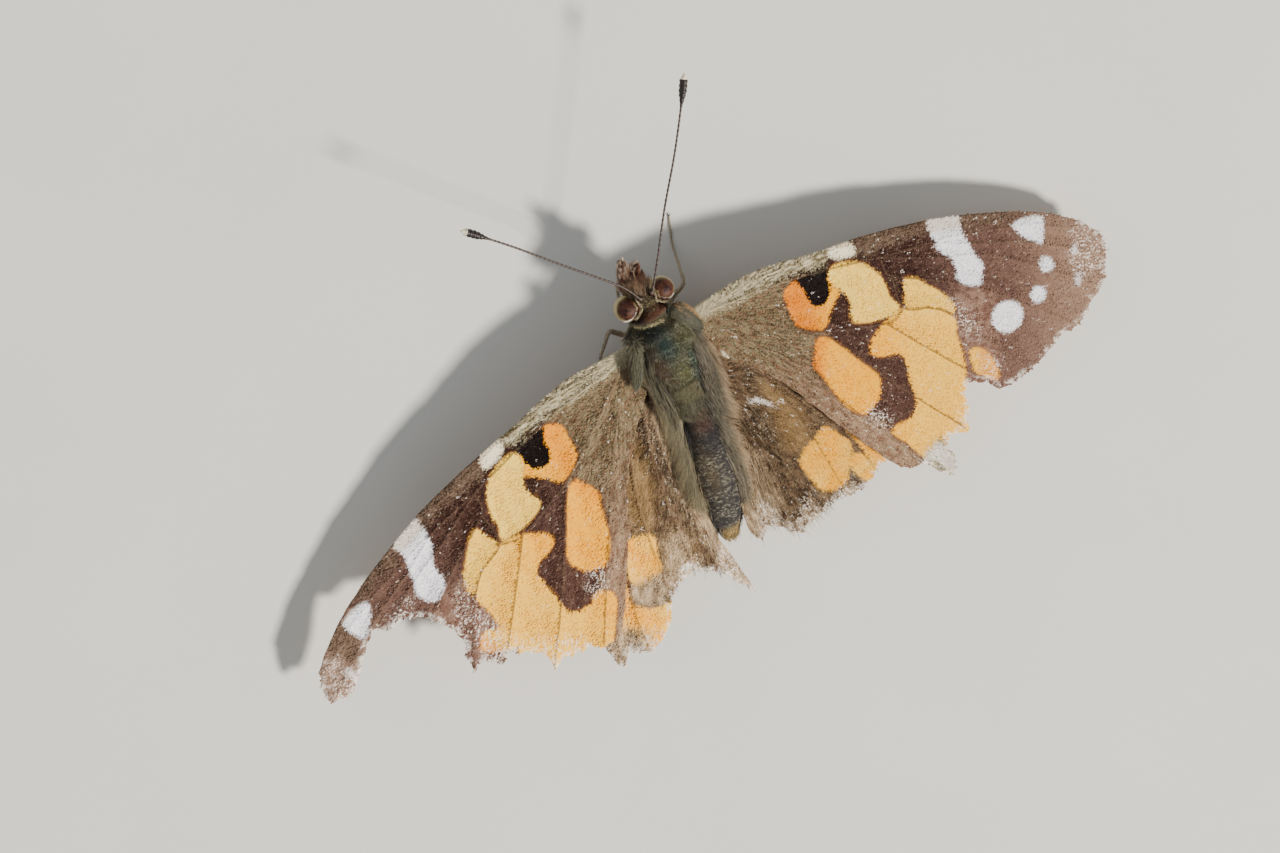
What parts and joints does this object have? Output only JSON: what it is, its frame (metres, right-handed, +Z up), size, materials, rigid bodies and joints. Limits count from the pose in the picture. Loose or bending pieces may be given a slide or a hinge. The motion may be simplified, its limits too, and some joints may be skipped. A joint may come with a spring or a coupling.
{
  "type": "painted lady butterfly",
  "caption": "Still model of a painted lady butterfly at rest on its legs, with worn orange, black and white wings spread nearly flat.",
  "frame": {"origin": "middle of the animal's bounding box, on the floor under its feet", "axes": "+X to the butterfly's right across the spread wings, +Y towards the head and antennae, +Z up"},
  "size_m": [0.0616, 0.0364, 0.0091],
  "materials": {
    "wing": "matte scales, patterned orange, black-brown, cream and white",
    "hindwing": "matte scales with hair towards the body",
    "fur": "olive-grey fur",
    "collar": "red-brown short fur",
    "abdomen": "dark speckled scales",
    "eye": "glossy, fine facets",
    "palp": "bristly scales",
    "horn": "dark chitin, ringed",
    "leg": "pale scaly chitin"
  },
  "bodies": {
    "root": {"head": "fur", "prothorax": "collar", "mesothorax": "fur", "metathorax": "fur", "abdomen": "abdomen", "proboscis": "horn", "eye_left": "eye", "palp_left": "palp", "antenna_left": "horn", "tegula_left": "fur", "forewing_left": "wing", "hindwing_left": "hindwing", "foreleg_left": "leg", "midleg_left": "leg", "hindleg_left": "leg", "eye_right": "eye", "palp_right": "palp", "antenna_right": "horn", "tegula_right": "fur", "forewing_right": "wing", "hindwing_right": "hindwing", "foreleg_right": "leg", "midleg_right": "leg", "hindleg_right": "leg"}
  },
  "joints": []
}
